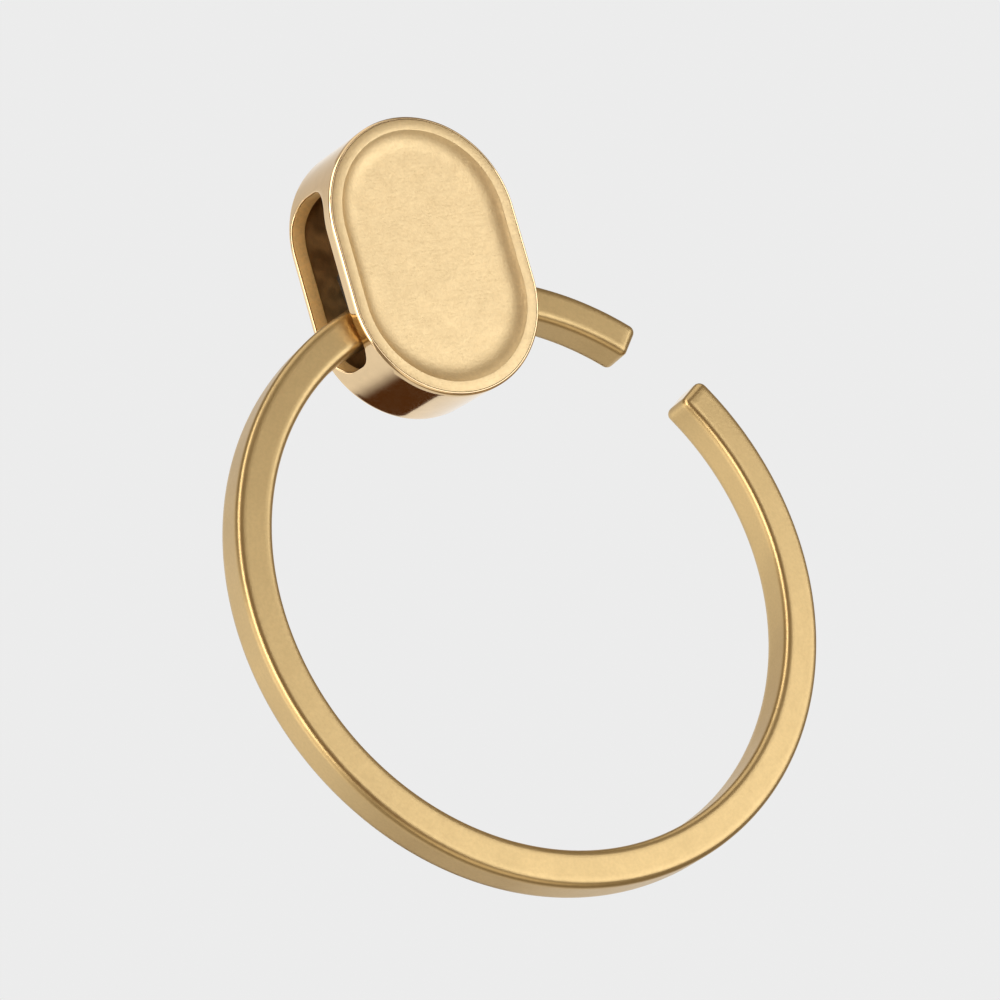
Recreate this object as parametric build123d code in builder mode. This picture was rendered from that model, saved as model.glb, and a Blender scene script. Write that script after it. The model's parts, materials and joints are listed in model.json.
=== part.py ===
from build123d import *
import os
from math import cos, radians, sin

# Split key ring: a one-turn open ring of rectangular bar, closed by a hollow
# oval closure that slides round it.  Millimetres.  The origin is the ring's
# centre, the ring's axis is Y, the dished front faces -Y, and +Z points from
# the ring's centre to the closure.

# --- ring --------------------------------------------------------------------
RING_OUTER_DIAMETER = 34.0
BAR_RADIAL = 2.0            # bar size across the ring's plane
BAR_AXIAL = 2.2             # bar size along the ring's axis
BAR_EDGE_RADIUS = 0.35
GAP_START = 31.2            # angles of the bar's two ends, from +X towards +Z
GAP_END = 46.3
END_EDGE_RADIUS = 0.34

# --- closure, in its own plane: x across it, y outward, z to its front ---------
CLOSURE_LENGTH = 15.5
CLOSURE_WIDTH = 11.4
CLOSURE_THICKNESS = 5.0
CLOSURE_RADIUS = 18.15      # from the ring's centre to the closure's centre
CLOSURE_LEAN = 8.0          # degrees, outer end towards the front
WALL = 0.85                 # side wall round the cavity
BACK_PLATE = 0.5
BACK_EDGE_RADIUS = 0.4
LIP = 0.15                  # wall left round the cover, where the cover is let in
LIP_CHAMFER = 0.1
COVER_THICKNESS = 0.5
COVER_EDGE_CHAMFER = 0.04
DISH_INSET = 0.85           # closure's outline to the dish
DISH_DEPTH = 0.34
DISH_TAPER = 54.0           # degrees, dish wall to the closure's thickness
DISH_BLEND_RADIUS = 1.4     # dish wall into dish floor
BULGE_INSET = 1.2           # closure's outline to the bulge behind the dish
BULGE_DEPTH = 0.3
BULGE_TAPER = 50.0
BULGE_BLEND_RADIUS = 0.2
SLOT_INNER_END = -4.85      # ends of the slots in the side walls, along y
SLOT_OUTER_END = 4.8
SLOT_FRONT = 1.7            # front edge of those slots, along z
SLOT_CORNER_RADIUS = 1.5

# --- inside the closure --------------------------------------------------------
SEAT_GAP = 0.02             # round a part that is fixed in its seat
TONGUE_LENGTH = 3.4         # along the bar, shorter than the gap
TONGUE_CLEARANCE = 0.16     # tongue to the bar's inner face
TONGUE_EDGE_RADIUS = 0.25
SHOE_CLEARANCE = 0.03       # shoe to the bar's outer face
SHOE_LENGTH = 8.4           # along the bar, longer than the gap
SHOE_WIDTH = 2.0
SHOE_CROWN_RADIUS = 2.9     # about the middle of the bar
SHOE_EDGE_RADIUS = 0.25
SHOE_STUD_DIAMETER = 0.9
SHOE_STUD_HEIGHT = 0.6
POST_DIAMETER = 1.6
POST_LENGTH = 1.4
PAD_HEIGHT = 0.3            # flat seat for the spring, at the cavity's outer end
SPRING_DIAMETER = 2.6
SPRING_WIRE = 0.3
SPRING_TURNS = 7.5

# --- worked-out sizes ------------------------------------------------------------
outer_radius = RING_OUTER_DIAMETER / 2
inner_radius = outer_radius - BAR_RADIAL
mean_radius = outer_radius - BAR_RADIAL / 2
gap_angle = GAP_END - GAP_START
lean = radians(CLOSURE_LEAN)
closure_plane = Plane(
    origin=(0, 0, CLOSURE_RADIUS),
    x_dir=(1, 0, 0),
    z_dir=(0, -cos(lean), -sin(lean)),
)
side_plane = Plane(
    origin=closure_plane.origin,
    x_dir=closure_plane.y_dir,
    z_dir=closure_plane.x_dir,
)
front_axis = Axis(closure_plane.origin, closure_plane.z_dir)
outward_axis = Axis(closure_plane.origin, closure_plane.y_dir)
front_z = CLOSURE_THICKNESS / 2
back_z = -front_z
cover_seat_z = front_z - COVER_THICKNESS
cavity_back_z = back_z + BACK_PLATE
bulge_z = cover_seat_z - BULGE_DEPTH
cavity_length = CLOSURE_LENGTH - 2 * WALL
cavity_width = CLOSURE_WIDTH - 2 * WALL
cover_length = CLOSURE_LENGTH - 2 * (LIP + SEAT_GAP)
cover_width = CLOSURE_WIDTH - 2 * (LIP + SEAT_GAP)
pad_y = cavity_length / 2 - PAD_HEIGHT
# where the middle of the bar crosses the closure, in the closure's own plane
bar_y = -(CLOSURE_RADIUS - mean_radius) * cos(lean)
bar_z = (CLOSURE_RADIUS - mean_radius) * sin(lean)


def raised(height):
    """The closure's plane, moved to the front by height."""
    return closure_plane.offset(height)


def across(y):
    """A plane across the closure at y, facing outward, centred on the bar's level."""
    centre = closure_plane.from_local_coords((0, y, bar_z))
    return Plane(origin=centre, x_dir=closure_plane.x_dir, z_dir=closure_plane.y_dir)


# --- split_ring: rounded rectangular bar bent to one open turn ---------------------
end_plane = Plane(
    origin=(0, 0, 0),
    x_dir=(cos(radians(GAP_START)), 0, sin(radians(GAP_START))),
    z_dir=(sin(radians(GAP_START)), 0, -cos(radians(GAP_START))),
)
with BuildPart() as split_ring:
    with BuildSketch(end_plane):
        with Locations((mean_radius, 0)):
            RectangleRounded(BAR_RADIAL, BAR_AXIAL, BAR_EDGE_RADIUS)
    revolve(axis=Axis.Y, revolution_arc=360 - gap_angle)
    end_faces = split_ring.faces().filter_by(lambda face: face.area < BAR_RADIAL * BAR_AXIAL)
    fillet(end_faces.filter_by(GeomType.PLANE).edges(), END_EDGE_RADIUS)
split_ring.part.label = "split_ring"

# --- closure_body: oval cup, slotted through both side walls for the bar -------------
with BuildPart() as closure_body:
    with BuildSketch(raised(back_z)):
        SlotOverall(CLOSURE_LENGTH, CLOSURE_WIDTH, rotation=90)
    extrude(amount=CLOSURE_THICKNESS)
    fillet(closure_body.faces().sort_by(front_axis)[0].edges(), BACK_EDGE_RADIUS)
    chamfer(closure_body.faces().sort_by(front_axis)[-1].edges(), LIP_CHAMFER)
    with BuildSketch(raised(cavity_back_z)):
        SlotOverall(cavity_length, cavity_width, rotation=90)
    extrude(amount=CLOSURE_THICKNESS, mode=Mode.SUBTRACT)
    with BuildSketch(raised(cover_seat_z)):
        SlotOverall(CLOSURE_LENGTH - 2 * LIP, CLOSURE_WIDTH - 2 * LIP, rotation=90)
    extrude(amount=COVER_THICKNESS, mode=Mode.SUBTRACT)
    with BuildSketch(side_plane):
        with Locations(((SLOT_INNER_END + SLOT_OUTER_END) / 2, (cavity_back_z + SLOT_FRONT) / 2)):
            RectangleRounded(
                SLOT_OUTER_END - SLOT_INNER_END,
                SLOT_FRONT - cavity_back_z,
                SLOT_CORNER_RADIUS,
            )
    extrude(amount=CLOSURE_WIDTH, both=True, mode=Mode.SUBTRACT)
    # flat pad and post that hold the spring's outer end
    with BuildSketch(across(pad_y)):
        Circle(SPRING_DIAMETER / 2)
    extrude(amount=PAD_HEIGHT + WALL / 2)
    with BuildSketch(across(pad_y - POST_LENGTH)):
        Circle(POST_DIAMETER / 2)
    extrude(amount=POST_LENGTH + PAD_HEIGHT)
closure_body.part.label = "closure_body"

# --- front_cover: dished plate, let into the front of the cup --------------------------
with BuildPart() as front_cover:
    with BuildSketch(raised(cover_seat_z)):
        SlotOverall(cover_length, cover_width, rotation=90)
    extrude(amount=COVER_THICKNESS)
    chamfer(front_cover.faces().sort_by(front_axis)[-1].edges(), COVER_EDGE_CHAMFER)
    # the bulge behind the dish keeps the plate nearly even in thickness
    with BuildSketch(-raised(cover_seat_z)):
        SlotOverall(CLOSURE_LENGTH - 2 * BULGE_INSET, CLOSURE_WIDTH - 2 * BULGE_INSET, rotation=90)
    extrude(amount=BULGE_DEPTH, taper=BULGE_TAPER)
    fillet(front_cover.faces().sort_by(front_axis)[0].edges(), BULGE_BLEND_RADIUS)
    with BuildSketch(-raised(front_z)):
        SlotOverall(CLOSURE_LENGTH - 2 * DISH_INSET, CLOSURE_WIDTH - 2 * DISH_INSET, rotation=90)
    extrude(amount=DISH_DEPTH, taper=DISH_TAPER, mode=Mode.SUBTRACT)
    dish_floor = front_cover.faces().filter_by(front_axis).sort_by(front_axis)[-2]
    fillet(dish_floor.edges(), DISH_BLEND_RADIUS)
front_cover.part.label = "front_cover"

# --- lock_block: fills the cavity's inner end, with a tongue that fits the ring's gap --
block_height = bulge_z - cavity_back_z - 2 * SEAT_GAP
block_top = SLOT_INNER_END - SEAT_GAP
with BuildPart() as lock_block:
    with BuildSketch(raised(cavity_back_z + SEAT_GAP)):
        SlotOverall(cavity_length - 2 * SEAT_GAP, cavity_width - 2 * SEAT_GAP, rotation=90)
        with Locations((0, block_top)):
            Rectangle(
                cavity_width,
                cavity_length,
                align=(Align.CENTER, Align.MAX),
                mode=Mode.INTERSECT,
            )
    extrude(amount=block_height)
    # the tongue's top follows the bar's inner face
    with BuildSketch(raised(cavity_back_z + SEAT_GAP)):
        with Locations((0, block_top)):
            Rectangle(TONGUE_LENGTH, BAR_RADIAL, align=(Align.CENTER, Align.MIN))
        with Locations((0, bar_y - mean_radius)):
            Circle(inner_radius - TONGUE_CLEARANCE, mode=Mode.INTERSECT)
    extrude(amount=block_height)
    tip_edges = lock_block.edges().filter_by(front_axis).group_by(outward_axis)[-1]
    fillet(tip_edges, TONGUE_EDGE_RADIUS)
lock_block.part.label = "lock_block"

# --- pressure_shoe: rides on the bar's outer face, crowned so the closure can lean -----
with BuildPart() as pressure_shoe:
    with BuildSketch(Plane.XZ):
        with Locations((0, mean_radius)):
            Rectangle(SHOE_LENGTH, SHOE_CROWN_RADIUS, align=(Align.CENTER, Align.MIN))
        Circle(outer_radius + SHOE_CLEARANCE, mode=Mode.SUBTRACT)
    extrude(amount=SHOE_WIDTH / 2, both=True)
    with BuildSketch(Plane.YZ):
        with Locations((0, mean_radius)):
            Circle(SHOE_CROWN_RADIUS)
    extrude(amount=SHOE_LENGTH, both=True, mode=Mode.INTERSECT)
    shoulder_edges = pressure_shoe.edges().group_by(Axis.Z)[-1].filter_by(GeomType.CIRCLE)
    fillet(shoulder_edges, SHOE_EDGE_RADIUS)
    # stud that keeps the spring's inner end in place
    stud_top = mean_radius + SHOE_CROWN_RADIUS + SHOE_STUD_HEIGHT
    with BuildSketch(Plane.XY.offset(stud_top)):
        Circle(SHOE_STUD_DIAMETER / 2)
    extrude(amount=-(SHOE_STUD_HEIGHT + SHOE_CROWN_RADIUS / 4))
pressure_shoe.part.label = "pressure_shoe"

# --- return_spring: coil between the shoe's crown and the closure's outer end -----------
spring_start = bar_y + SHOE_CROWN_RADIUS + SPRING_WIRE / 2 + SEAT_GAP
spring_height = pad_y - SEAT_GAP - SPRING_WIRE / 2 - spring_start
with BuildPart() as return_spring:
    with BuildLine() as coil:
        Helix(
            pitch=spring_height / SPRING_TURNS,
            height=spring_height,
            radius=(SPRING_DIAMETER - SPRING_WIRE) / 2,
            center=across(spring_start).origin,
            direction=closure_plane.y_dir,
        )
    with BuildSketch(Plane(origin=coil.line @ 0, z_dir=coil.line % 0)):
        Circle(SPRING_WIRE / 2)
    sweep(path=coil.line, is_frenet=True)
return_spring.part.label = "return_spring"

# --- write one file per piece --------------------------------------------------------------
os.makedirs("parts", exist_ok=True)
export_step(split_ring.part, "parts/split_ring.step")
export_step(closure_body.part, "parts/closure_body.step")
export_step(front_cover.part, "parts/front_cover.step")
export_step(lock_block.part, "parts/lock_block.step")
export_step(pressure_shoe.part, "parts/pressure_shoe.step")
export_step(return_spring.part, "parts/return_spring.step")
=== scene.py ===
import json
import math

import bmesh
import bpy
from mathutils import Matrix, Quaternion, Vector


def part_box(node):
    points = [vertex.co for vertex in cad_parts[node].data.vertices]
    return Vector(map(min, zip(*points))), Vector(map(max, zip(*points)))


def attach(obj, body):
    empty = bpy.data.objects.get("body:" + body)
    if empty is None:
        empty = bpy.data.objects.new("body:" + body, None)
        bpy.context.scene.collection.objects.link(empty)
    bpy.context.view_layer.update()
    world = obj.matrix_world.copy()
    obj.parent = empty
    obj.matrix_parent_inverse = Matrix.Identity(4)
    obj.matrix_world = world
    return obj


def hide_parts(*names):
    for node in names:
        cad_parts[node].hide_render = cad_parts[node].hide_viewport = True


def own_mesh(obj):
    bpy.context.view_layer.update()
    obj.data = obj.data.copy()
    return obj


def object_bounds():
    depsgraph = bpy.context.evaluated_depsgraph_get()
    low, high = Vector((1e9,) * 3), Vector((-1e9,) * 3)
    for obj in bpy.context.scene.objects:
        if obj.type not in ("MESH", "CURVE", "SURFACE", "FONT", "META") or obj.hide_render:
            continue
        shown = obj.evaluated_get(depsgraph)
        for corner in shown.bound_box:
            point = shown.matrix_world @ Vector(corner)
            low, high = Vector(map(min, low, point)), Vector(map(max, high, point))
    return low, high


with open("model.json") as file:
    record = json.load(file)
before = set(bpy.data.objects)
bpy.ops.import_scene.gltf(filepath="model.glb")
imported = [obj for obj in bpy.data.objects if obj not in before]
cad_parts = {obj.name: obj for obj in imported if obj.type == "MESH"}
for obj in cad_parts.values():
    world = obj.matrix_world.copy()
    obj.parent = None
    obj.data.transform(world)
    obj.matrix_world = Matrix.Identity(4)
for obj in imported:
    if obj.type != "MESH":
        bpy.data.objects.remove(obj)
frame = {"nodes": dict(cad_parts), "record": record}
cad_low, cad_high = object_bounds()

# Looks of the split key ring with a sliding closure.  Shapes are written in
# millimetres: the ring and the shoe in the row frame, the closure and its spring in
# the closure's own frame (x across, y outward from the ring, z to its dished front).
# Places and overall sizes come from the frame.

MM = 0.001

# ring bar
BAR_EDGE_RADIUS = 0.35
BAR_STEP = 1.0              # degrees round the ring between two sections
BAR_SIDE_STEPS = 12         # points along each side of a section
END_EDGE_RADIUS = 0.42
LEAST_RADIUS = 0.01         # of a section's corners, where the end's rounding eats them up

# closure
WALL = 0.85                 # side wall
BACK_EDGE_RADIUS = 0.36     # ends just short of the slots' rounded edges
CAVITY_FLOOR = 0.42         # thickness of the back plate
LIP = 0.15                  # wall left round the cover, where the cover is let in
LIP_CHAMFER = 0.1
LIP_EDGE = 0.015            # broken edges of the lip
LIP_EDGE_RISE = 0.018       # height of the broken edge between wall and chamfer
COVER_THICKNESS = 0.5
BULGE_INSET = 1.2           # closure's outline to the bulge behind the dish
BULGE_DEPTH = 0.289         # how far the bulge stands behind the cover's plain back
COVER_EDGE = 0.03           # broken edge of the cover, which makes the seam a fine groove
DISH_INSET = 0.75           # closure's outline to the dish
DISH_DEPTH = 0.34
DISH_SLOPE = 36.0           # degrees, at the dish's edge
DISH_EDGE_RADIUS = 0.04
SLOT_ENDS = (-4.85, 4.8)    # along y
SLOT_SIDES = (-2.02, 1.74)  # along z
SLOT_CORNER_RADIUS = 1.5
SLOT_EDGE_RADIUS = 0.1
SLOT_INNER_EDGE = 0.04
PATCH_END = 6.2             # the slots' patches of mesh end here, along the outline

# inside the closure
TONGUE_WIDTH = 3.4
TONGUE_CORNER_RADIUS = 0.25
BLOCK_EDGE_RADIUS = 0.12
SHOE_EDGE_RADIUS = 0.14
STUD_RADIUS = 0.38
STUD_HEIGHT = 0.6           # above the shoe's crown
STUD_ROOT = 0.75            # share of the crown's height where the stud starts
POST_RADIUS = 0.8
POST_REACH = 1.26           # into the spring, from its outer end
PAD_RADIUS = 1.3
PAD_HEIGHT = 0.3
PIN_EDGE = 0.12
SPRING_WIRE = 0.3
SPRING_TURNS = 8.5
SPRING_CLOSED_TURNS = 1.0   # at each end
SPRING_CLOSED_PITCH = 1.02  # in thicknesses of the wire
SPRING_TURN_STEPS = 28      # sections in one turn
WIRE_STEPS = 14             # points round the wire

# satin and polished pale gold, black acetal and spring steel, as linear colours
GOLD_SATIN = (0.88, 0.67, 0.37)
GOLD_RING = (0.64, 0.455, 0.21)
GOLD_POLISHED = (0.84, 0.62, 0.36)
GOLD_MACHINED = (0.62, 0.40, 0.18)
# the slots' cut faces: the plate's gold painted lighter, for the light that bounces round inside
# the slots
GOLD_CUT_PAINTED_LIGHTER = (1.0, 0.76, 0.40)
ACETAL = (0.016, 0.014, 0.012)
SPRING_STEEL = (0.46, 0.45, 0.44)
STRAW_TINT = (0.42, 0.35, 0.25)

# camera, from the ring's centre
CAMERA_DISTANCE = 181.4
CAMERA_LEFT = 33.9          # degrees to the left of the ring's axis
CAMERA_BELOW = 12.45        # degrees
CAMERA_ROLL = 20.5          # degrees
CAMERA_LENS = 125.0

BACKDROP = 0.84             # brightness of the background and the floor
FLOOR_DEPTH = 150.0         # below the ring's centre
LAMP_DISTANCE = 0.6         # metres from the ring's centre
FLAG_DISTANCE = 0.4


# --- places and sizes, from the frame ------------------------------------------

def named(items, name):
    """The item of a list of records that has this name."""
    return next(item for item in items if item["name"] == name)


def extent(node, axis):
    """Lowest and highest place of a CAD node along an axis, in millimetres."""
    places = [vertex.co.dot(axis) / MM for vertex in frame["nodes"][node].data.vertices]
    return min(places), max(places)


def middle(pair):
    return (pair[0] + pair[1]) / 2


def span(pair):
    return pair[1] - pair[0]


record = frame["record"]
across = Vector((1, 0, 0))
front = Vector(named(record["mounts"], "emblem_seat")["axis"]).normalized()
outward = front.cross(across)
body_x = extent("closure_body", across)
body_y = extent("closure_body", outward)
body_z = extent("closure_body", front)
cover_x = extent("front_cover", across)
cover_z = extent("front_cover", front)
closure_centre = (
    across * middle(body_x)
    + outward * middle(body_y)
    + front * middle((body_z[0], cover_z[1]))
)
end_radius = span(body_x) / 2
cover_inset = (span(body_x) - span(cover_x)) / 2
half_straight = (span(body_y) - span(body_x)) / 2
half_outline = half_straight + end_radius * math.pi / 2
front_z = (cover_z[1] - body_z[0]) / 2
back_z = -front_z
seat_z = front_z - COVER_THICKNESS

ring_points = [vertex.co / MM for vertex in frame["nodes"]["split_ring"].data.vertices]
ring_radii = [math.hypot(point.x, point.z) for point in ring_points]
outer_radius = max(ring_radii)
inner_radius = min(ring_radii)
mean_radius = (outer_radius + inner_radius) / 2
bar_radial = outer_radius - inner_radius
bar_axial = span(extent("split_ring", Vector((0, 1, 0))))


def to_row(point):
    """A point of the closure's own frame, in the row frame, in millimetres."""
    return closure_centre + across * point[0] + outward * point[1] + front * point[2]


def to_closure(point):
    """A point of the row frame, in the closure's own frame."""
    offset = Vector(point) - closure_centre
    return Vector((offset.dot(across), offset.dot(outward), offset.dot(front)))


bar_crossing = to_closure((0, 0, mean_radius))


# --- mesh building ---------------------------------------------------------------

MERGE_DISTANCE = 2e-7       # metres
SLIVER_WIDTH = 2e-6         # metres
SHARP_ANGLE = math.radians(35)
WIRE_SHARP_ANGLE = math.radians(60)


class Shell:
    """One closed mesh made of grids of points, which join where their points meet."""

    def __init__(self):
        self.points = []
        self.faces = []
        self.zones = []

    def add(self, points):
        """Takes in some points, and returns their numbers."""
        start = len(self.points)
        self.points.extend(points)
        return range(start, len(self.points))

    def grid(self, rows, zone=0, closed=True):
        """Faces between each row of points and the next one."""
        indices = [self.add(row) for row in rows]
        for low, high in zip(indices, indices[1:]):
            count = len(low)
            for i in range(count if closed else count - 1):
                j = (i + 1) % count
                self.faces.append((low[i], low[j], high[j], high[i]))
                self.zones.append(zone)

    def cap(self, loop, zone=0):
        """One flat face across a loop of points."""
        self.faces.append(tuple(self.add(loop)))
        self.zones.append(zone)

    def build(self, name, materials, place=None):
        """The object, with its points placed in the row frame and turned to metres."""
        place = place or Vector
        mesh = bpy.data.meshes.new(name)
        mesh.from_pydata([place(point) * MM for point in self.points], [], self.faces)
        for polygon, zone in zip(mesh.polygons, self.zones):
            polygon.material_index = zone
        clean(mesh, MERGE_DISTANCE)
        mesh.shade_smooth()
        thing = bpy.data.objects.new(name, mesh)
        bpy.context.scene.collection.objects.link(thing)
        for material in materials:
            mesh.materials.append(material)
        return thing


def clean(mesh, distance, triangles=False):
    """Joins points that nearly meet, removes slivers and turns every face outward."""
    work = bmesh.new()
    work.from_mesh(mesh)
    if triangles:
        bmesh.ops.triangulate(work, faces=work.faces)
    bmesh.ops.remove_doubles(work, verts=work.verts, dist=distance)
    bmesh.ops.dissolve_degenerate(work, edges=work.edges, dist=distance)
    bmesh.ops.recalc_face_normals(work, faces=work.faces)
    work.to_mesh(mesh)
    work.free()


def weighted_normals(thing):
    """Flat faces stay flat next to their rounded edges."""
    modifier = thing.modifiers.new("weighted normals", "WEIGHTED_NORMAL")
    modifier.mode = "FACE_AREA_WITH_ANGLE"
    modifier.keep_sharp = True


def soften_edges(thing, radius):
    """Rounds the sharp edges, then keeps the flats flat."""
    bevel = thing.modifiers.new("bevel", "BEVEL")
    bevel.width = radius * MM
    bevel.segments = 3
    bevel.limit_method = "ANGLE"
    bevel.angle_limit = SHARP_ANGLE
    weighted_normals(thing)


def unite(thing, other):
    """Makes one closed shell of a thing and another one, and removes the other object."""
    for part in (thing, other):
        clean(part.data, MERGE_DISTANCE, triangles=True)
    union = thing.modifiers.new("union", "BOOLEAN")
    union.operation = "UNION"
    union.solver = "EXACT"
    union.object = other
    bpy.context.view_layer.update()
    evaluated = thing.evaluated_get(bpy.context.evaluated_depsgraph_get())
    mesh = bpy.data.meshes.new_from_object(evaluated)
    clean(mesh, SLIVER_WIDTH)
    thing.modifiers.clear()
    thing.data = mesh
    bpy.data.objects.remove(other)


def spread(start, end, steps):
    """steps + 1 evenly spaced values."""
    return [start + (end - start) * i / steps for i in range(steps + 1)]


def rounded_side(half_along, half_out, radius, steps):
    """One side of a rounded rectangle, (along, out), from mid corner to mid corner."""
    straight = half_along - radius
    reach = straight + radius * math.pi / 4
    side = []
    for place in spread(-reach, reach, steps)[:-1]:
        turn = max(abs(place) - straight, 0) / radius
        along = min(abs(place), straight) + radius * math.sin(turn)
        side.append((math.copysign(along, place), half_out - radius * (1 - math.cos(turn))))
    return side


def rounded_rectangle(half_u, half_v, radius, steps_u, steps_v):
    """Outline (u, v), anticlockwise, with the same points for every size."""
    outline = [(u, -v) for u, v in rounded_side(half_u, half_v, radius, steps_u)]
    outline += [(u, v) for v, u in rounded_side(half_v, half_u, radius, steps_v)]
    outline += [(-u, v) for u, v in rounded_side(half_u, half_v, radius, steps_u)]
    outline += [(-u, -v) for v, u in rounded_side(half_v, half_u, radius, steps_v)]
    return outline


def edge_round(radius, steps):
    """(inset, depth) pairs of a rounded edge, from the face to the side."""
    turns = spread(0, math.pi / 2, steps)
    return [(radius * (1 - math.sin(turn)), radius * (1 - math.cos(turn))) for turn in turns]


# --- the closure's oval outline --------------------------------------------------

END_COLUMNS = 24            # of mesh, from a slot's patch to the outline's end
PATCH_COLUMNS = 50          # of mesh, along a slot's patch
PATCH_RINGS = 8             # of mesh, from a slot to the border of its patch
WALL_ROWS = 12              # of mesh, up the wall
STATIONS = (
    spread(-half_outline, -PATCH_END, END_COLUMNS)[:-1]
    + spread(-PATCH_END, PATCH_END, PATCH_COLUMNS)
    + spread(PATCH_END, half_outline, END_COLUMNS)[1:]
)


def oval_point(along, inset, side, z):
    """Point of the outline, found by its place along the outer edge of one side."""
    radius = end_radius - inset
    turn = max(abs(along) - half_straight, 0) / end_radius
    y = min(abs(along), half_straight) + radius * math.sin(turn)
    return Vector((side * radius * math.cos(turn), math.copysign(y, along), z))


def oval(inset, z):
    """The whole outline at one height, as the loop of one row of mesh."""
    right = [oval_point(along, inset, 1, z) for along in STATIONS]
    left = [oval_point(along, inset, -1, z) for along in reversed(STATIONS[1:-1])]
    return right + left


def wall_point(y, inset, side, z):
    """Point of the outline, found by its y."""
    past = max(abs(y) - half_straight, 0)
    return Vector((side * math.sqrt((end_radius - inset) ** 2 - past ** 2), y, z))


def along_outline(y, inset):
    """The place along the outer edge that belongs to a wall point's y."""
    past = max(abs(y) - half_straight, 0)
    turn = math.asin(past / (end_radius - inset))
    return math.copysign(min(abs(y), half_straight) + end_radius * turn, y)


def slot_outline(grow):
    """(y, z) outline of the slots in the side walls, grown by a little."""
    outline = rounded_rectangle(
        span(SLOT_ENDS) / 2 + grow,
        span(SLOT_SIDES) / 2 + grow,
        SLOT_CORNER_RADIUS + grow,
        PATCH_COLUMNS,
        WALL_ROWS,
    )
    return [(u + middle(SLOT_ENDS), v + middle(SLOT_SIDES)) for u, v in outline]


def slotted_wall(shell, inset, low, high, grow, zone):
    """The wall's surface between two heights, open at the two slots."""
    heights = spread(low, high, WALL_ROWS)
    border = [(along, low) for along in spread(-PATCH_END, PATCH_END, PATCH_COLUMNS)[:-1]]
    border += [(PATCH_END, z) for z in heights[:-1]]
    border += [(along, high) for along in spread(PATCH_END, -PATCH_END, PATCH_COLUMNS)[:-1]]
    border += [(-PATCH_END, z) for z in reversed(heights[1:])]
    hole = [(along_outline(y, inset), z) for y, z in slot_outline(grow)]
    for side in (1, -1):
        rings = []
        for share in spread(0, 1, PATCH_RINGS):
            ring = []
            for (near, near_z), (far, far_z) in zip(hole, border):
                along = near + (far - near) * share
                ring.append(oval_point(along, inset, side, near_z + (far_z - near_z) * share))
            rings.append(ring)
        shell.grid(rings, zone)
        for end in (1, -1):
            columns = [
                [oval_point(end * along, inset, side, z) for z in heights]
                for along in spread(PATCH_END, half_outline, END_COLUMNS)
            ]
            shell.grid(columns, zone, closed=False)


def slot_lining(shell, zone):
    """The cut faces of the two slots, with their outer edges rounded and polished."""
    outer = edge_round(SLOT_EDGE_RADIUS, steps=4)
    inner_edge = reversed(edge_round(SLOT_INNER_EDGE, steps=2))
    inner = [(inset, WALL - depth) for inset, depth in inner_edge]
    for side in (1, -1):
        for rows, row_zone in ((outer, POLISHED_ZONE), (outer[-1:] + inner, zone)):
            loops = [
                [wall_point(y, depth, side, z) for y, z in slot_outline(grow)]
                for grow, depth in rows
            ]
            shell.grid(loops, row_zone)


def shank(shell, profile, steps, base, zone=0):
    """Round pin along y: profile holds (radius, y) pairs, base its centre (x, z)."""
    turns = spread(0, 2 * math.pi, steps)[:-1]
    rows = [
        [
            Vector((base[0] + radius * math.cos(turn), y, base[1] + radius * math.sin(turn)))
            for turn in turns
        ]
        for radius, y in profile
    ]
    shell.grid(rows, zone)
    shell.cap(rows[0], zone)
    shell.cap(rows[-1], zone)


# --- materials ---------------------------------------------------------------------

class Nodes:
    """Short way to write a node tree: inputs take values or other nodes' outputs."""

    def __init__(self, tree):
        self.tree = tree
        tree.nodes.clear()

    def feed(self, socket, value):
        """Links another node's output to a socket, or sets the socket's value."""
        if isinstance(value, bpy.types.NodeSocket):
            self.tree.links.new(value, socket)
        else:
            socket.default_value = value

    def add(self, kind, inputs=None, **settings):
        node = self.tree.nodes.new("ShaderNode" + kind)
        for setting, value in settings.items():
            setattr(node, setting, value)
        for key, value in (inputs or {}).items():
            self.feed(node.inputs[key], value)
        return node

    def math(self, operation, first, second=0.0):
        return self.add("Math", {0: first, 1: second}, operation=operation).outputs[0]

    def vector_math(self, operation, first, second=(0, 0, 0)):
        """The node itself, because its result is a vector or a value."""
        return self.add("VectorMath", {0: first, 1: second}, operation=operation)

    def ramp(self, value, low, high, new_low, new_high, smooth=False):
        """Maps low..high to new_low..new_high, and holds the value outside them."""
        inputs = {
            "Value": value,
            "From Min": low,
            "From Max": high,
            "To Min": new_low,
            "To Max": new_high,
        }
        kind = "SMOOTHSTEP" if smooth else "LINEAR"
        return self.add("MapRange", inputs, interpolation_type=kind).outputs["Result"]

    def noise(self, vector, scale, detail, roughness):
        inputs = {"Vector": vector, "Scale": scale, "Detail": detail, "Roughness": roughness}
        return self.add("TexNoise", inputs).outputs["Fac"]

    def ridges(self, noise, width):
        """Thin lines where a noise crosses its middle value."""
        distance = self.math("ABSOLUTE", self.math("SUBTRACT", noise, 0.5))
        return self.ramp(distance, 0.0, width, 1.0, 0.0)

    def mix(self, share, first, second):
        """Mix of two colours: the node's sockets 6, 7 and its output 2 are the colour ones."""
        return self.add("Mix", {0: share, 6: first, 7: second}, data_type="RGBA").outputs[2]

    def bump(self, height, depth):
        """Normal of a bumpy surface, where a height of 1 is this depth in millimetres."""
        inputs = {"Strength": 1.0, "Distance": depth * MM, "Height": height}
        return self.add("Bump", inputs).outputs[0]


def shade(color, factor):
    """A colour made darker or lighter, with its alpha."""
    return tuple(min(channel * factor, 1.0) for channel in color) + (1.0,)


def millimetres(nodes):
    """Object coordinates in millimetres."""
    place = nodes.add("TexCoord").outputs["Object"]
    return nodes.vector_math("MULTIPLY", place, (1 / MM,) * 3).outputs[0]


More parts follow.
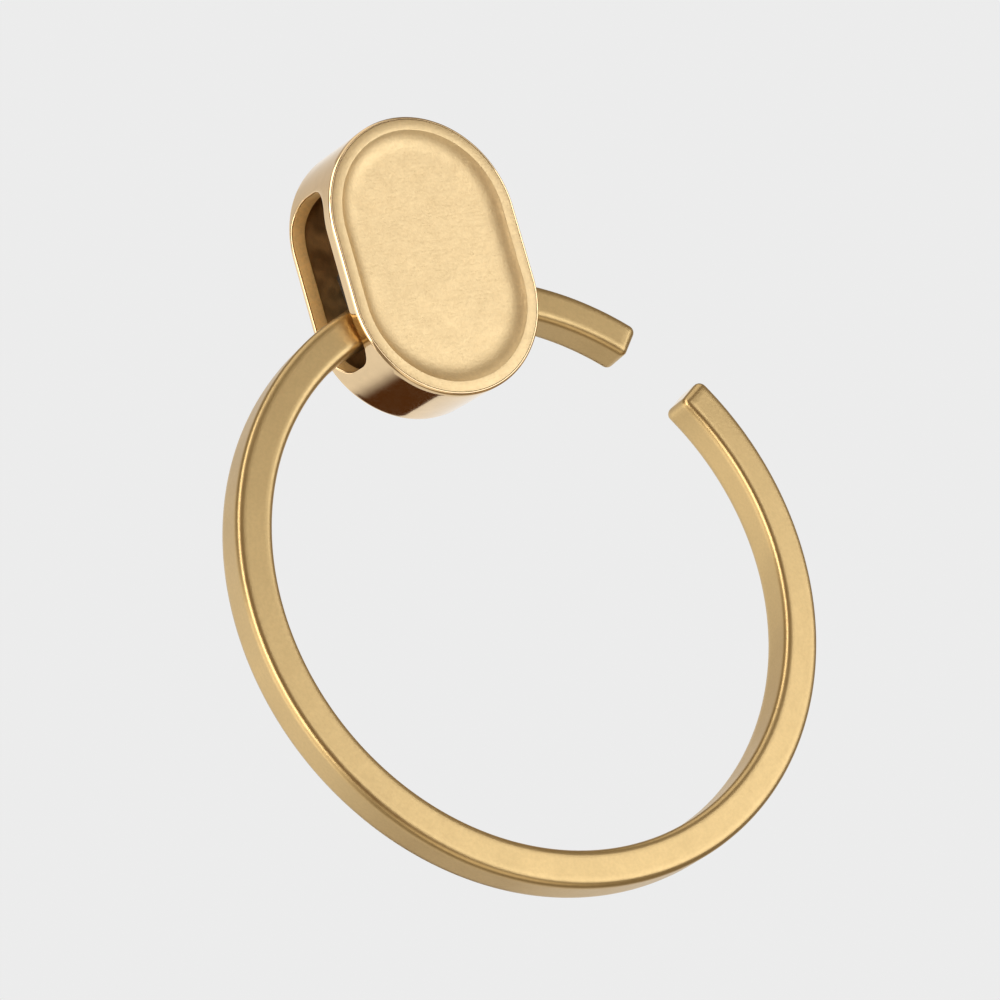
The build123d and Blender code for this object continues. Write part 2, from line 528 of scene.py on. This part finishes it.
def round_the_ring(nodes):
    """(length along the bar, radius, axial place), in millimetres."""
    x, y, z = nodes.add("SeparateXYZ", {0: millimetres(nodes)}).outputs
    x_squared = nodes.math("MULTIPLY", x, x)
    z_squared = nodes.math("MULTIPLY", z, z)
    radius = nodes.math("SQRT", nodes.math("ADD", x_squared, z_squared))
    length = nodes.math("MULTIPLY", nodes.math("ARCTAN2", z, x), mean_radius)
    return nodes.add("CombineXYZ", {0: length, 1: radius, 2: y}).outputs[0]


def stretched(nodes, place, scales):
    """A place whose coordinates are scaled, so that noise comes out drawn along one of them."""
    return nodes.vector_math("MULTIPLY", place, scales).outputs[0]


def edge_mask(nodes, radius):
    """1 on edges, 0 on faces, from the normal with and without a bevel: the mask of worn edges and
    of the painted highlight along them.
    """
    rounded = nodes.add("Bevel", {"Radius": radius * MM}, samples=6).outputs[0]
    plain = nodes.add("NewGeometry").outputs["Normal"]
    likeness = nodes.vector_math("DOT_PRODUCT", rounded, plain).outputs["Value"]
    return nodes.ramp(likeness, 0.995, 0.93, 0.0, 1.0)


def new_material(name):
    material = bpy.data.materials.new(name)
    material.use_nodes = True
    return material, Nodes(material.node_tree)


def finish_surface(nodes, color, metallic, roughness, normal):
    """The surface shader and the material's output."""
    surface = nodes.add("BsdfPrincipled", {
        "Base Color": color,
        "Metallic": metallic,
        "Roughness": roughness,
        "Normal": normal,
    })
    nodes.add("OutputMaterial", {"Surface": surface.outputs[0]})


def satin_metal(name, color, roughness, grain, along_ring=False):
    """Blasted plate: fine grain, faint brushing and scratches, cloudy tone, and edges that are
    worn smoother and painted lighter as a highlight.
    """
    material, nodes = new_material(name)
    place = round_the_ring(nodes) if along_ring else millimetres(nodes)
    clouds = nodes.noise(place, scale=0.45, detail=4.0, roughness=0.6)
    smudges = nodes.noise(place, scale=1.3, detail=5.0, roughness=0.65)
    speckle = nodes.noise(place, scale=6.0, detail=1.5, roughness=0.5)
    brushed_place = stretched(nodes, place, (0.35, 5.0, 5.0))
    brushing = nodes.noise(brushed_place, scale=1.0, detail=1.0, roughness=0.5)
    scratched_place = stretched(nodes, place, (0.5, 3.2, 4.1))
    scratch_noise = nodes.noise(scratched_place, scale=0.9, detail=1.0, roughness=0.4)
    scratches = nodes.ridges(scratch_noise, 0.004)
    wear_and_highlight = edge_mask(nodes, 0.12)
    cloudy = nodes.ramp(clouds, 0.3, 0.7, 0.0, 1.0)
    tone = nodes.mix(cloudy, shade(color, 0.95), shade(color, 1.03))
    tone = nodes.mix(nodes.ramp(speckle, 0.35, 0.65, 0.0, 0.3), tone, shade(color, 0.8))
    # Painted highlight: the edges are lightened, partly as worn metal and partly as if they caught
    # the light.
    tone = nodes.mix(nodes.math("MULTIPLY", wear_and_highlight, 0.35), tone, shade(color, 1.16))
    rough = nodes.ramp(smudges, 0.3, 0.7, roughness * 0.95, roughness * 1.07)
    rough = nodes.math("SUBTRACT", rough, nodes.math("MULTIPLY", wear_and_highlight, roughness * 0.3))
    rough = nodes.math("SUBTRACT", rough, nodes.math("MULTIPLY", scratches, roughness * 0.15))
    height = nodes.math("ADD", speckle, nodes.math("MULTIPLY", brushing, 0.2))
    height = nodes.math("SUBTRACT", height, nodes.math("MULTIPLY", scratches, 0.25))
    finish_surface(nodes, tone, 1.0, rough, nodes.bump(height, grain))
    return material


def polished_metal(name, color, roughness):
    """Buffed plate: soft waves, hairline scratches, slight tarnish in patches, and edges painted
    lighter, partly as worn metal and partly as a highlight.
    """
    material, nodes = new_material(name)
    place = millimetres(nodes)
    waves = nodes.noise(place, scale=0.55, detail=1.0, roughness=0.4)
    patches = nodes.noise(place, scale=1.1, detail=4.0, roughness=0.6)
    hair_place = stretched(nodes, place, (5.0, 5.0, 0.8))
    hair = nodes.noise(hair_place, scale=1.6, detail=2.0, roughness=0.5)
    hairlines = nodes.ridges(hair, 0.006)
    wear_and_highlight = edge_mask(nodes, 0.08)
    dulled = nodes.ramp(patches, 0.35, 0.7, 0.0, 1.0)
    tone = nodes.mix(dulled, shade(color, 1.0), shade(color, 0.93))
    # Painted highlight: the edges are lightened, partly as worn metal and partly as if they caught
    # the light.
    tone = nodes.mix(nodes.math("MULTIPLY", wear_and_highlight, 0.4), tone, shade(color, 1.12))
    rough = nodes.ramp(patches, 0.3, 0.75, roughness, roughness * 1.7)
    rough = nodes.math("ADD", rough, nodes.math("MULTIPLY", hairlines, 0.05))
    wave_height = nodes.math("MULTIPLY", waves, 6.0)
    height = nodes.math("SUBTRACT", wave_height, nodes.math("MULTIPLY", hairlines, 0.12))
    finish_surface(nodes, tone, 1.0, rough, nodes.bump(height, 0.0012))
    return material


def machined_metal(name, color, roughness):
    """Inside faces: milling lines and oily patches."""
    material, nodes = new_material(name)
    place = millimetres(nodes)
    wave = nodes.add("TexWave", {"Vector": place, "Scale": 2.2, "Distortion": 0.6, "Detail": 2.0})
    lines = nodes.math("MULTIPLY", wave.outputs["Fac"], 0.7)
    speckle = nodes.noise(place, scale=9.0, detail=3.0, roughness=0.6)
    oil = nodes.noise(place, scale=0.9, detail=4.0, roughness=0.6)
    tone = nodes.mix(nodes.ramp(oil, 0.35, 0.65, 0.0, 1.0), shade(color, 1.05), shade(color, 0.75))
    rough = nodes.ramp(oil, 0.3, 0.7, roughness * 1.15, roughness * 0.8)
    height = nodes.math("ADD", lines, speckle)
    finish_surface(nodes, tone, 1.0, rough, nodes.bump(height, 0.003))
    return material


def moulded_plastic(name, color):
    """Black acetal: fine mould texture and a rubbed sheen where it slides."""
    material, nodes = new_material(name)
    place = millimetres(nodes)
    texture = nodes.noise(place, scale=7.0, detail=3.0, roughness=0.6)
    rubbed_place = stretched(nodes, place, (0.4, 2.5, 2.5))
    rubbed = nodes.noise(rubbed_place, scale=1.0, detail=3.0, roughness=0.6)
    tone = nodes.mix(nodes.ramp(rubbed, 0.4, 0.7, 0.0, 1.0), shade(color, 1.0), shade(color, 2.2))
    rough = nodes.ramp(rubbed, 0.35, 0.7, 0.5, 0.3)
    finish_surface(nodes, tone, 0.0, rough, nodes.bump(texture, 0.004))
    return material


def drawn_wire(name, color, straw):
    """Spring steel: drawing marks along the wire and a faint straw tint."""
    material, nodes = new_material(name)
    place = millimetres(nodes)
    marked_place = stretched(nodes, place, (2.0, 14.0, 14.0))
    marks = nodes.noise(marked_place, scale=1.0, detail=3.0, roughness=0.6)
    tint = nodes.noise(place, scale=0.8, detail=3.0, roughness=0.5)
    tone = nodes.mix(nodes.ramp(tint, 0.4, 0.65, 0.0, 1.0), shade(color, 1.05), shade(straw, 1.0))
    rough = nodes.ramp(marks, 0.3, 0.7, 0.22, 0.36)
    finish_surface(nodes, tone, 1.0, rough, nodes.bump(marks, 0.002))
    return material


ring_satin = satin_metal("ring satin", GOLD_RING, 0.34, 0.003, along_ring=True)
cover_satin = satin_metal("cover satin", GOLD_SATIN, 0.47, 0.009)
polished = polished_metal("polished gold", GOLD_POLISHED, 0.07)
machined = machined_metal("machined gold", GOLD_MACHINED, 0.55)
# Painted light: the slots' cut faces are a lighter gold than the plate, standing in for light
# bounced inside the slots.
slot_cut = satin_metal("slot cut", GOLD_CUT_PAINTED_LIGHTER, 0.85, 0.003)
acetal = moulded_plastic("black acetal", ACETAL)
steel = drawn_wire("spring steel", SPRING_STEEL, STRAW_TINT)

CLOSURE_MATERIALS = [polished, cover_satin, machined, slot_cut]
POLISHED_ZONE, SATIN_ZONE, MACHINED_ZONE, CUT_ZONE = range(4)

RING_MATERIALS = [ring_satin, polished]
BAR_ZONE, BAR_END_ZONE = range(2)


# --- pieces --------------------------------------------------------------------------

FLAT_INSETS = (1.6, 3.2, 4.9)   # rows of mesh across the flat ovals


def ring_ends():
    """Angles of the bar's ends, from +X towards +Z: it runs from the first to the second."""
    gap = Vector(named(record["mounts"], "key_gap")["pos_m"])
    gap_angle = math.atan2(gap.z, gap.x)
    turns = [
        (math.atan2(point.z, point.x) - gap_angle) % (2 * math.pi) for point in ring_points
    ]
    return gap_angle + min(turns), gap_angle + max(turns)


def bar_section(angle, inset):
    """The bar's rounded rectangle, standing on the ring's circle at an angle."""
    outline = rounded_rectangle(
        bar_radial / 2 - inset,
        bar_axial / 2 - inset,
        max(BAR_EDGE_RADIUS - inset, LEAST_RADIUS),
        BAR_SIDE_STEPS,
        BAR_SIDE_STEPS,
    )
    return [
        Vector(((mean_radius + u) * math.cos(angle), v, (mean_radius + u) * math.sin(angle)))
        for u, v in outline
    ]


def make_ring():
    """Satin bar with rounded ends, whose flat end faces are polished."""
    start, end = ring_ends()
    rounding = edge_round(END_EDGE_RADIUS, steps=6)
    rows = [bar_section(start + depth / mean_radius, inset) for inset, depth in rounding]
    rounded = END_EDGE_RADIUS / mean_radius
    steps = round(math.degrees(end - start) / BAR_STEP)
    angles = spread(start + rounded, end - rounded, steps)[1:-1]
    rows += [bar_section(angle, 0) for angle in angles]
    rows += [bar_section(end - depth / mean_radius, inset) for inset, depth in reversed(rounding)]
    shell = Shell()
    shell.grid(rows, BAR_ZONE)
    shell.cap(rows[0], BAR_END_ZONE)
    shell.cap(rows[-1], BAR_END_ZONE)
    ring = shell.build("ring_bar", RING_MATERIALS)
    weighted_normals(ring)
    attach(ring, "ring")
    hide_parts("split_ring")


def make_spring_post():
    """Flat pad and post for the spring's outer end, rooted in the closure's wall."""
    cavity_end = half_straight + end_radius - WALL
    pad_y = cavity_end - PAD_HEIGHT
    tip_y = extent("return_spring", outward)[1] - closure_centre.dot(outward) - POST_REACH
    root_y = cavity_end + WALL / 2
    profile = [
        (POST_RADIUS - PIN_EDGE, tip_y),
        (POST_RADIUS, tip_y + PIN_EDGE),
        (POST_RADIUS, pad_y),
        (PAD_RADIUS - PIN_EDGE / 2, pad_y),
        (PAD_RADIUS, pad_y + PIN_EDGE / 2),
        (PAD_RADIUS, root_y),
    ]
    shell = Shell()
    shank(shell, profile, steps=48, base=(0, bar_crossing.z), zone=MACHINED_ZONE)
    return shell.build("spring_post", CLOSURE_MATERIALS, to_row)


def make_closure_cup():
    """Oval cup: polished wall, slotted on both sides, satin back, machined inside."""
    floor_z = back_z + CAVITY_FLOOR
    wall_top = front_z - LIP_CHAMFER - LIP_EDGE
    seat_edge_z = seat_z - SLOT_INNER_EDGE
    shell = Shell()
    rounding = edge_round(BACK_EDGE_RADIUS, steps=6)
    shell.grid([oval(inset, back_z + depth) for inset, depth in rounding], POLISHED_ZONE)
    plate = [oval(inset, back_z) for inset in (BACK_EDGE_RADIUS,) + FLAT_INSETS]
    shell.grid(plate, SATIN_ZONE)
    shell.cap(plate[-1], SATIN_ZONE)
    slotted_wall(shell, 0, back_z + BACK_EDGE_RADIUS, wall_top, SLOT_EDGE_RADIUS, POLISHED_ZONE)
    slot_lining(shell, CUT_ZONE)
    lip = [
        oval(0, wall_top),
        oval(LIP_EDGE / 2, wall_top + LIP_EDGE_RISE),
        oval(LIP_CHAMFER - LIP_EDGE / 2, front_z - LIP_EDGE / 2),
        oval(LIP_CHAMFER + LIP_EDGE / 2, front_z),
        oval(LIP - LIP_EDGE / 2, front_z),
        oval(LIP, front_z - LIP_EDGE / 2),
    ]
    shell.grid(lip, POLISHED_ZONE)
    seat = [
        lip[-1],
        oval(LIP, seat_z),
        oval(WALL - SLOT_INNER_EDGE, seat_z),
        oval(WALL, seat_edge_z),
    ]
    shell.grid(seat, MACHINED_ZONE)
    slotted_wall(shell, WALL, floor_z, seat_edge_z, SLOT_INNER_EDGE, MACHINED_ZONE)
    floor = [oval(inset, floor_z) for inset in (WALL,) + FLAT_INSETS]
    shell.grid(floor, MACHINED_ZONE)
    shell.cap(floor[-1], MACHINED_ZONE)
    cup = shell.build("closure_cup", CLOSURE_MATERIALS, to_row)
    unite(cup, make_spring_post())
    cup.data.set_sharp_from_angle(angle=SHARP_ANGLE)
    weighted_normals(cup)
    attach(cup, "closure")
    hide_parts("closure_body")


def dish_profile():
    """(inset, z) pairs from the flat rim, over the dish's edge, down to its floor.

    The wall is a cubic curve, steepest at the edge, that runs into the floor without a crease.
    """
    slope = math.radians(DISH_SLOPE)
    edge_start = DISH_INSET - DISH_EDGE_RADIUS * math.tan(slope / 2)
    edge_centre_z = front_z - DISH_EDGE_RADIUS
    profile = [
        (
            edge_start + DISH_EDGE_RADIUS * math.sin(turn),
            edge_centre_z + DISH_EDGE_RADIUS * math.cos(turn),
        )
        for turn in spread(0, slope, steps=3)
    ]
    edge_inset, edge_z = profile[-1]
    fall = edge_z - (front_z - DISH_DEPTH)
    width = 3 * fall / math.tan(slope)
    profile += [
        (edge_inset + width * share, edge_z - fall * (1 - (1 - share) ** 3))
        for share in spread(0, 1, steps=16)[1:]
    ]
    return profile


def make_front_cover():
    """Dished satin plate, let into the cup, with a plain back that bulges behind the dish."""
    bulge_z = seat_z - BULGE_DEPTH
    dish = dish_profile()
    floor_inset, floor_z = dish[-1]
    shell = Shell()
    behind = [
        oval(FLAT_INSETS[-1], bulge_z),
        oval(floor_inset, bulge_z),
        oval(BULGE_INSET, seat_z),
        oval(cover_inset + COVER_EDGE, seat_z),
        oval(cover_inset, seat_z + COVER_EDGE),
        oval(cover_inset, front_z - COVER_EDGE),
    ]
    shell.cap(behind[0], MACHINED_ZONE)
    shell.grid(behind, MACHINED_ZONE)
    face = [
        behind[-1],
        oval(cover_inset + COVER_EDGE / 3, front_z - COVER_EDGE / 3),
        oval(cover_inset + COVER_EDGE, front_z),
    ]
    face += [oval(inset, z) for inset, z in dish]
    face += [oval(inset, floor_z) for inset in spread(floor_inset, FLAT_INSETS[-1], steps=3)[1:]]
    shell.grid(face, SATIN_ZONE)
    shell.cap(face[-1], SATIN_ZONE)
    cover = shell.build("front_cover_plate", CLOSURE_MATERIALS, to_row)
    cover.data.set_sharp_from_angle(angle=SHARP_ANGLE)
    weighted_normals(cover)
    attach(cover, "closure")
    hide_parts("front_cover")


def block_outline():
    """(x, y) outline of the lock block with its tongue, from the right corner round the end."""
    block_x = extent("lock_block", across)
    block_y = [y - closure_centre.dot(outward) for y in extent("lock_block", outward)]
    radius = span(block_x) / 2
    centre_y = -half_straight
    top_y = SLOT_ENDS[0] - (centre_y - radius - block_y[0])
    corner = math.asin((top_y - centre_y) / radius)
    outline = [
        (radius * math.cos(turn), centre_y + radius * math.sin(turn))
        for turn in spread(corner, -math.pi - corner, steps=40)
    ]
    half_width = TONGUE_WIDTH / 2
    fillet = TONGUE_CORNER_RADIUS
    tip_y = block_y[1]
    bar_sag = inner_radius - math.sqrt(inner_radius ** 2 - half_width ** 2)
    fillet_x = fillet - half_width
    fillet_y = tip_y - bar_sag - fillet
    left = [(-half_width, top_y)]
    left += [
        (fillet_x - fillet * math.cos(turn), fillet_y + fillet * math.sin(turn))
        for turn in spread(0, math.pi / 2, steps=5)
    ]
    outline += left
    outline.append((0, tip_y))
    outline += [(-x, y) for x, y in reversed(left)]
    return outline


def make_lock_block():
    """Flat block in the closure's inner end, with a tongue towards the bar."""
    low, high = [z - closure_centre.dot(front) for z in extent("lock_block", front)]
    outline = block_outline()
    rows = [[Vector((x, y, z)) for x, y in outline] for z in (low, high)]
    shell = Shell()
    shell.grid(rows)
    shell.cap(rows[0])
    shell.cap(rows[1])
    block = shell.build("lock_block_tongue", [machined], to_row)
    block.data.set_sharp_from_angle(angle=SHARP_ANGLE)
    soften_edges(block, BLOCK_EDGE_RADIUS)
    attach(block, "closure")
    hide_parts("lock_block")


def shoe_section(x, inset, base_radius, half_width, crown):
    """Cross-section of the shoe at x: hollow foot, straight sides, crowned top."""
    edge = SHOE_EDGE_RADIUS
    foot = math.sqrt(base_radius ** 2 - x ** 2) + inset
    edge_y = half_width - inset - edge
    radius = crown - inset
    shoulder = math.asin(edge_y / (radius - edge))
    edge_top = mean_radius + (radius - edge) * math.cos(shoulder)
    side = [
        (edge_y + edge * math.sin(turn), foot + edge - edge * math.cos(turn))
        for turn in spread(0, math.pi / 2, steps=3)[1:]
    ]
    side += [
        (edge_y + edge * math.cos(turn), edge_top + edge * math.sin(turn))
        for turn in spread(0, math.pi / 2 - shoulder, steps=3)
    ]
    section = [(y, foot) for y in spread(-edge_y, edge_y, steps=6)]
    section += side
    section += [
        (radius * math.sin(turn), mean_radius + radius * math.cos(turn))
        for turn in spread(shoulder, -shoulder, steps=14)[1:-1]
    ]
    section += [(-y, z) for y, z in reversed(side)]
    return [Vector((x, y, z)) for y, z in section]


def make_pressure_shoe():
    """Black shoe with a foot that follows the bar, a crown, and a stud for the spring."""
    low, high = [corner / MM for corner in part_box("pressure_shoe")]
    half_length = high.x
    foot_radius = math.hypot(low.z, half_length)
    stud_tip = high.z
    crown = stud_tip - STUD_HEIGHT - mean_radius
    rounding = edge_round(SHOE_EDGE_RADIUS, steps=4)
    flat = half_length - SHOE_EDGE_RADIUS
    places = [(-half_length + depth, inset) for inset, depth in rounding]
    places += [(x, 0) for x in spread(-flat, flat, steps=32)[1:-1]]
    places += [(half_length - depth, inset) for inset, depth in reversed(rounding)]
    rows = [shoe_section(x, inset, foot_radius, high.y, crown) for x, inset in places]
    shell = Shell()
    shell.grid(rows)
    shell.cap(rows[0])
    shell.cap(rows[-1])
    shoe = shell.build("sliding_shoe", [acetal])
    pin = Shell()
    profile = [
        (STUD_RADIUS, mean_radius + crown * STUD_ROOT),
        (STUD_RADIUS, stud_tip - PIN_EDGE),
        (STUD_RADIUS - PIN_EDGE, stud_tip),
    ]
    shank(pin, profile, steps=32, base=(0, 0))
    stud = pin.build("shoe_stud", [acetal], lambda point: Vector((point.x, point.z, point.y)))
    unite(shoe, stud)
    shoe.data.set_sharp_from_angle(angle=SHARP_ANGLE)
    weighted_normals(shoe)
    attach(shoe, "shoe")
    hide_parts("pressure_shoe")


def make_spring():
    """Coil spring with a closed turn at each end."""
    low, high = [y - closure_centre.dot(outward) for y in extent("return_spring", outward)]
    coil_radius = span(extent("return_spring", across)) / 2 - SPRING_WIRE / 2
    start = low + SPRING_WIRE / 2
    height = high - low - SPRING_WIRE
    closed = SPRING_CLOSED_TURNS * SPRING_WIRE * SPRING_CLOSED_PITCH
    open_turns = SPRING_TURNS - 2 * SPRING_CLOSED_TURNS
    up = Vector((0, 1, 0))
    rows = []
    for turn in spread(0, SPRING_TURNS, round(SPRING_TURNS * SPRING_TURN_STEPS)):
        from_end = min(turn, SPRING_TURNS - turn)
        if from_end <= SPRING_CLOSED_TURNS:
            rise = closed * from_end / SPRING_CLOSED_TURNS
        else:
            rise = closed + (height - 2 * closed) * (from_end - SPRING_CLOSED_TURNS) / open_turns
        y = start + rise if turn < SPRING_TURNS / 2 else start + height - rise
        angle = 2 * math.pi * turn
        radial = Vector((math.cos(angle), 0, math.sin(angle)))
        centre = Vector((0, y, bar_crossing.z)) + radial * coil_radius
        rows.append([
            centre + (radial * math.cos(round_wire) + up * math.sin(round_wire)) * SPRING_WIRE / 2
            for round_wire in spread(0, 2 * math.pi, WIRE_STEPS)[:-1]
        ])
    shell = Shell()
    shell.grid(rows)
    shell.cap(rows[0])
    shell.cap(rows[-1])
    spring = shell.build("coil_spring", [steel], to_row)
    spring.data.set_sharp_from_angle(angle=WIRE_SHARP_ANGLE)
    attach(spring, "spring")
    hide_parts("return_spring")
    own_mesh(spring)


make_ring()
make_closure_cup()
make_front_cover()
make_lock_block()
make_pressure_shoe()
make_spring()


# --- studio ---------------------------------------------------------------------------

def direction(azimuth, elevation):
    """Azimuth 0 is in front of the object (-Y), 90 to its right (+X)."""
    around = math.radians(azimuth)
    above = math.radians(elevation)
    level = math.cos(above)
    return Vector((math.sin(around) * level, -math.cos(around) * level, math.sin(above)))


def stand(thing, azimuth, elevation, distance):
    """Puts a lamp or a card where it faces the object, unseen by the camera."""
    thing.location = direction(azimuth, elevation) * distance
    thing.rotation_euler = direction(azimuth, elevation).to_track_quat("Z", "Y").to_euler()
    thing.visible_camera = False
    bpy.context.scene.collection.objects.link(thing)


def softbox(name, azimuth, elevation, width, height, radiance, color=(1, 1, 1)):
    """Area light with the given size in metres and the given brightness in reflections."""
    light = bpy.data.lights.new(name, "AREA")
    light.shape = "RECTANGLE"
    light.size = width
    light.size_y = height
    light.energy = radiance * math.pi * width * height
    light.color = color
    stand(bpy.data.objects.new(name, light), azimuth, elevation, LAMP_DISTANCE)


def flag(name, azimuth, elevation, width, height, color, soft=0.0):
    """Dark card that only reflections see, and that fades out towards its left edge."""
    material, nodes = new_material(name)
    glow = nodes.add("Emission", {"Color": color + (1.0,), "Strength": 1.0})
    clear = nodes.add("BsdfTransparent")
    leftward = nodes.add("SeparateXYZ", {0: nodes.add("TexCoord").outputs["Object"]}).outputs[0]
    fade = nodes.ramp(leftward, width / 2 - soft, width / 2, 0.0, 1.0, smooth=True)
    both = nodes.add("MixShader", {0: fade, 1: glow.outputs[0], 2: clear.outputs[0]})
    nodes.add("OutputMaterial", {"Surface": both.outputs[0]})
    signs = ((-1, -1), (1, -1), (1, 1), (-1, 1))
    corners = [(width / 2 * right, height / 2 * up, 0) for right, up in signs]
    mesh = bpy.data.meshes.new(name)
    mesh.from_pydata(corners, [], [range(len(corners))])
    mesh.materials.append(material)
    card = bpy.data.objects.new(name, mesh)
    stand(card, azimuth, elevation, FLAG_DISTANCE)
    card.visible_diffuse = False
    card.visible_shadow = False


def make_surroundings():
    """Pale room: brightest behind the object, darker above and below, warm where it is dark."""
    world = bpy.data.worlds.new("studio")
    bpy.context.scene.world = world
    world.use_nodes = True
    nodes = Nodes(world.node_tree)
    sight = nodes.add("TexCoord").outputs["Generated"]
    backward, upward = nodes.add("SeparateXYZ", {0: sight}).outputs[1:]
    behind = nodes.ramp(backward, 0.3, 0.78, 0.34, 0.92, smooth=True)
    below = nodes.ramp(upward, -0.9, -0.15, 0.8, 1.0, smooth=True)
    above = nodes.ramp(upward, 0.42, 0.8, 1.0, 0.65, smooth=True)
    bright = nodes.math("MULTIPLY", nodes.math("MULTIPLY", behind, below), above)
    warmth = nodes.ramp(bright, 0.2, 0.9, 0.0, 1.0)
    tint = nodes.mix(warmth, shade((1.0, 0.82, 0.6), 1.0), shade((1.0, 1.0, 1.0), 1.0))
    room = nodes.add("Background", {"Color": tint, "Strength": bright})
    seen = nodes.add("Background", {"Color": (1, 1, 1, 1), "Strength": BACKDROP})
    camera_ray = nodes.add("LightPath").outputs["Is Camera Ray"]
    both = nodes.add("MixShader", {0: camera_ray, 1: room.outputs[0], 2: seen.outputs[0]})
    nodes.add("OutputWorld", {"Surface": both.outputs[0]})


def make_floor():
    """Pale floor far below the object, which fades into the backdrop and isn't reflected."""
    material, nodes = new_material("floor")
    place = nodes.add("TexCoord").outputs["Object"]
    distance = nodes.vector_math("LENGTH", place).outputs["Value"]
    grain = nodes.noise(place, scale=900.0, detail=3.0, roughness=0.6)
    fade = nodes.ramp(distance, 0.02, 0.12, 0.0, 1.0, smooth=True)
    tone = nodes.mix(grain, shade((0.80, 0.80, 0.80), 1.0), shade((0.84, 0.84, 0.84), 1.0))
    matt = nodes.add("BsdfDiffuse", {"Color": tone})
    glow = nodes.add("Emission", {"Color": (1, 1, 1, 1), "Strength": BACKDROP})
    both = nodes.add("MixShader", {0: fade, 1: matt.outputs[0], 2: glow.outputs[0]})
    nodes.add("OutputMaterial", {"Surface": both.outputs[0]})
    bpy.ops.mesh.primitive_circle_add(vertices=96, radius=3.0, fill_type="NGON")
    floor = bpy.context.object
    floor.name = "floor"
    floor.location = (0, 0, -FLOOR_DEPTH * MM)
    floor.data.materials.append(material)
    floor.visible_glossy = False
    floor.visible_shadow = False


def make_camera():
    """The camera at the photograph's viewpoint, rolled, and aimed at the middle of the part."""
    camera = bpy.data.objects.new("camera", bpy.data.cameras.new("camera"))
    bpy.context.scene.collection.objects.link(camera)
    place = direction(-CAMERA_LEFT, -CAMERA_BELOW) * CAMERA_DISTANCE
    aim = (cad_low + cad_high) / 2 / MM
    turn = (aim - place).to_track_quat("-Z", "Y")
    camera.location = place * MM
    camera.rotation_mode = "QUATERNION"
    camera.rotation_quaternion = turn @ Quaternion((0, 0, 1), math.radians(-CAMERA_ROLL))
    camera.data.lens = CAMERA_LENS
    camera.data.clip_start = 0.01
    camera.data.clip_end = 20.0
    bpy.context.scene.camera = camera


make_surroundings()
make_floor()
# name, azimuth and elevation in degrees, width and height in metres, brightness, colour
softbox("key", 37, -7, 0.5, 0.44, 1.68, (0.97, 1.03, 1.12))
softbox("strip", -60, 6, 0.22, 0.62, 4.2, (1.0, 0.98, 0.94))
softbox("upper strip", -56, 52, 0.24, 0.36, 2.6, (1.0, 0.98, 0.94))
softbox("left wall", -102, -4, 0.75, 0.6, 1.0, (1.0, 0.99, 0.97))
softbox("top", 30, 72, 0.5, 0.5, 0.8)
softbox("table", -20, -62, 0.5, 0.4, 0.7, (1.0, 0.93, 0.8))
flag("camera flag", -22, 0, 0.3, 0.5, (0.2, 0.12, 0.06))
flag("low flag", 181, -21.5, 0.27, 0.1, (0.08, 0.03, 0.008), soft=0.09)
make_camera()
bpy.context.scene.view_settings.view_transform = "Standard"
